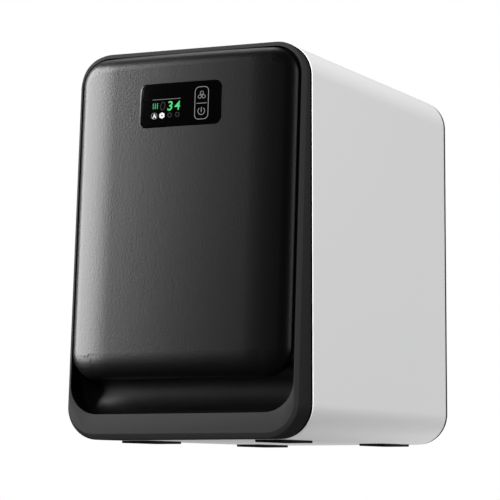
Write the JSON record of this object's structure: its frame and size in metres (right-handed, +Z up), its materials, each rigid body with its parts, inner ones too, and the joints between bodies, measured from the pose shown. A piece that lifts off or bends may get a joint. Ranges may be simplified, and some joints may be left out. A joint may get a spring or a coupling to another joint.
{
  "type": "filament dryer box",
  "caption": "Upright box with a pale rounded sleeve and a leaning black door with display and finger grip; a heated chamber on rollers dries filament spools.",
  "frame": {"origin": "on the floor, under the middle of the whole box, door and rear fittings included", "axes": "+X to the right as seen from the door, +Y from the door to the back, +Z up"},
  "size_m": [0.255, 0.469, 0.4135],
  "materials": {
    "shell_grey": "satin",
    "front_black": "satin",
    "grip_black": "gloss",
    "window_black": "gloss, tinted",
    "foot_rubber": "matte",
    "seal_rubber": "matte",
    "liner_grey": "satin",
    "bright_steel": "satin",
    "sheet_steel": "satin",
    "bracket_black": "satin",
    "fan_black": "satin",
    "heater_fins": "satin",
    "board_green": "satin",
    "display_dark": "matte",
    "roller_white": "satin"
  },
  "bodies": {
    "cabinet": {"base_plate": "sheet_steel", "chamber_liner": "liner_grey", "control_board": "board_green", "fan_frame": "fan_black", "filament_outlet_1": "bracket_black", "filament_outlet_2": "bracket_black", "filament_outlet_3": "bracket_black", "filament_outlet_4": "bracket_black", "floor_grille": "liner_grey", "foot_front_left": "foot_rubber", "foot_front_right": "foot_rubber", "foot_rear_left": "foot_rubber", "foot_rear_right": "foot_rubber", "front_bulkhead": "liner_grey", "heater_core": "heater_fins", "heater_frame": "sheet_steel", "hinge_bracket_lower": "sheet_steel", "hinge_bracket_upper": "sheet_steel", "hot_air_duct": "sheet_steel", "liner_support_left": "sheet_steel", "liner_support_right": "sheet_steel", "mains_inlet": "bracket_black", "outer_shell": "shell_grey", "power_supply": "sheet_steel", "rear_panel": "bracket_black", "rear_screws": "bright_steel", "return_grille": "liner_grey", "roller_bracket_front": "bracket_black", "roller_bracket_middle": "bracket_black", "roller_bracket_rear": "bracket_black", "roller_shaft_left": "bright_steel", "roller_shaft_right": "bright_steel", "sensor_pod": "liner_grey", "strike_plates": "bright_steel", "thermal_cutout": "bright_steel"},
    "door": {"door_frame": "front_black", "front_panel": "front_black", "finger_grip": "grip_black", "display_window": "window_black", "display_module": "display_dark", "display_board": "board_green", "door_liner": "liner_grey", "door_seal": "seal_rubber", "door_magnets": "bright_steel", "door_screws": "bright_steel", "hinge_pin_lower": "bright_steel", "hinge_pin_upper": "bright_steel"},
    "fan_rotor": {"fan_rotor": "fan_black"},
    "roller_left_1": {"roller_left_1": "roller_white"},
    "roller_left_2": {"roller_left_2": "roller_white"},
    "roller_left_3": {"roller_left_3": "roller_white"},
    "roller_left_4": {"roller_left_4": "roller_white"},
    "roller_right_1": {"roller_right_1": "roller_white"},
    "roller_right_2": {"roller_right_2": "roller_white"},
    "roller_right_3": {"roller_right_3": "roller_white"},
    "roller_right_4": {"roller_right_4": "roller_white"}
  },
  "joints": [
    {"name": "door_hinge", "type": "hinge", "parent": "cabinet", "child": "door", "pos_m": [-0.1215, -0.18525, 0.1875], "axis": [0, 0, -1], "range_deg": [0, 95]},
    {"name": "fan_spin", "type": "hinge", "parent": "cabinet", "child": "fan_rotor", "pos_m": [0, 0.13325, 0.053], "axis": [0, 1, 0], "continuous": true},
    {"name": "roller_left_1_spin", "type": "hinge", "parent": "cabinet", "child": "roller_left_1", "pos_m": [-0.055, -0.11525, 0.1265], "axis": [0, 1, 0], "continuous": true},
    {"name": "roller_left_2_spin", "type": "hinge", "parent": "cabinet", "child": "roller_left_2", "pos_m": [-0.055, -0.03125, 0.1265], "axis": [0, 1, 0], "continuous": true},
    {"name": "roller_left_3_spin", "type": "hinge", "parent": "cabinet", "child": "roller_left_3", "pos_m": [-0.055, 0.05275, 0.1265], "axis": [0, 1, 0], "continuous": true},
    {"name": "roller_left_4_spin", "type": "hinge", "parent": "cabinet", "child": "roller_left_4", "pos_m": [-0.055, 0.13675, 0.1265], "axis": [0, 1, 0], "continuous": true},
    {"name": "roller_right_1_spin", "type": "hinge", "parent": "cabinet", "child": "roller_right_1", "pos_m": [0.055, -0.11525, 0.1265], "axis": [0, 1, 0], "continuous": true},
    {"name": "roller_right_2_spin", "type": "hinge", "parent": "cabinet", "child": "roller_right_2", "pos_m": [0.055, -0.03125, 0.1265], "axis": [0, 1, 0], "continuous": true},
    {"name": "roller_right_3_spin", "type": "hinge", "parent": "cabinet", "child": "roller_right_3", "pos_m": [0.055, 0.05275, 0.1265], "axis": [0, 1, 0], "continuous": true},
    {"name": "roller_right_4_spin", "type": "hinge", "parent": "cabinet", "child": "roller_right_4", "pos_m": [0.055, 0.13675, 0.1265], "axis": [0, 1, 0], "continuous": true}
  ]
}
